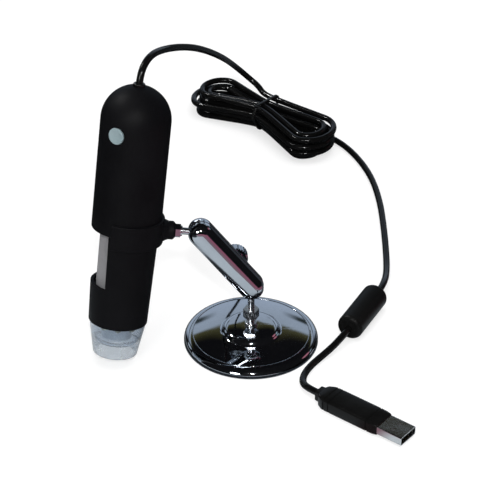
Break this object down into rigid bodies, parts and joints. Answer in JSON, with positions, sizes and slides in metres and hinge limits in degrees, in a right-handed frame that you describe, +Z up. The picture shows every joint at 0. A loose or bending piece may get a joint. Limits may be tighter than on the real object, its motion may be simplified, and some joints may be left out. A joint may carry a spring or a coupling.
{
  "type": "usb digital microscope",
  "caption": "Handheld USB microscope on a ball-jointed chrome arm and round base, with focus ring, snapshot button, lit clear nozzle and a tied cord with a plug.",
  "frame": {"origin": "centre of the base's underside, on the surface that it stands on", "axes": "+Z up, +X towards the plug's side, +Y away from the viewer of the picture"},
  "size_m": [0.158, 0.3434, 0.153],
  "materials": {
    "chrome": "mirror chrome plate",
    "steel": "zinc-plated steel",
    "foot_rubber": "matt foam rubber",
    "black_plastic": "satin black",
    "brass": "turned",
    "black_coat": "soft-touch black coat",
    "clear_plastic": "clear polycarbonate",
    "circuit_board": "green solder mask",
    "lamp_lens": "clear lamp epoxy",
    "sensor_glass": "coated glass",
    "chip_plastic": "moulded black",
    "cord_rubber": "satin black cord jacket",
    "grey_ring": "satin grey, fine ribs",
    "lens_glass": "polished glass",
    "button_grey": "silver-grey paint",
    "tie_black": "black tie",
    "bright_steel": "bright nickel plate",
    "gold_contact": "gold flash"
  },
  "bodies": {
    "stand": {"base_disc": "chrome", "base_ballast": "steel", "foot_pad": "foot_rubber", "base_nut": "steel", "cord_arch": "cord_rubber", "cord_hank": "cord_rubber", "hank_tie": "tie_black", "cord_floor": "cord_rubber", "ferrite_choke": "cord_rubber", "cord_tail": "cord_rubber", "plug_overmould": "cord_rubber", "plug_shell": "bright_steel", "plug_tongue": "chip_plastic", "plug_contacts": "gold_contact"},
    "lower_ball_stud": {"base_stud": "chrome"},
    "arm": {"arm_front_shell": "chrome", "arm_back_shell": "chrome", "clamp_stud": "steel", "clamp_washer": "steel"},
    "knob": {"clamp_knob": "chrome"},
    "upper_ball_stud": {"upper_stud": "chrome", "upper_nut": "chrome"},
    "holder": {"holder_clip": "black_plastic", "boss_insert": "brass"},
    "microscope": {"upper_casing": "black_coat", "lower_casing": "black_coat", "clear_nozzle": "clear_plastic", "led_ring_board": "circuit_board", "leds": "lamp_lens", "led_bezel": "black_plastic", "ring_retainer": "black_plastic", "sensor_board": "circuit_board", "image_sensor": "sensor_glass", "board_screws": "steel", "main_board": "circuit_board", "board_chips": "chip_plastic", "tact_switch": "chip_plastic", "cord_grommet": "cord_rubber"},
    "focus_ring": {"focus_ring": "grey_ring"},
    "lens": {"lens_barrel": "black_plastic", "lens_elements": "lens_glass"},
    "button": {"snapshot_button": "button_grey"}
  },
  "joints": [
    {"name": "stand_turn", "type": "hinge", "parent": "stand", "child": "lower_ball_stud", "pos_m": [0, 0, 0.033], "axis": [0, 0, 1], "range_deg": [-90, 90], "deforming": ["cord_arch"]},
    {"name": "arm_swing", "type": "hinge", "parent": "lower_ball_stud", "child": "arm", "pos_m": [0, 0, 0.033], "axis": [-0.0593, 0.9982, 0], "range_deg": [0, 60]},
    {"name": "head_swing", "type": "hinge", "parent": "arm", "child": "upper_ball_stud", "pos_m": [-0.02474, -0.00147, 0.06566], "axis": [-0.0593, 0.9982, 0], "range_deg": [0, 60]},
    {"name": "holder_roll", "type": "hinge", "parent": "upper_ball_stud", "child": "holder", "pos_m": [-0.02474, -0.00147, 0.06566], "axis": [0.9911, 0.0589, -0.1193], "range_deg": [-30, 30]},
    {"name": "scope_turn", "type": "hinge", "parent": "holder", "child": "microscope", "pos_m": [-0.06092, -0.00362, 0.07001], "axis": [0.1071, 0.1781, 0.9782], "range_deg": [-45, 45]},
    {"name": "knob_turn", "type": "hinge", "parent": "arm", "child": "knob", "pos_m": [-0.00754, -0.00045, 0.04296], "axis": [-0.0593, 0.9982, 0], "range_deg": [0, 270]},
    {"name": "focus_turn", "type": "hinge", "parent": "microscope", "child": "focus_ring", "pos_m": [-0.0681, -0.01555, 0.00447], "axis": [0.1071, 0.1781, 0.9782], "range_deg": [-150, 150]},
    {"name": "lens_slide", "type": "slide", "parent": "microscope", "child": "lens", "axis": [0.1071, 0.1781, 0.9782], "range_m": [-0.004, 0.004]},
    {"name": "button_press", "type": "slide", "parent": "microscope", "child": "button", "axis": [0.4889, 0.8473, -0.2078], "range_m": [0, 0.0006], "stiffness_N_per_m": 1500, "springref_m": -0.0004}
  ],
  "couplings": [
    {"joint": "lens_slide", "follows": "focus_turn", "m_per_rad": 0.0015279}
  ]
}
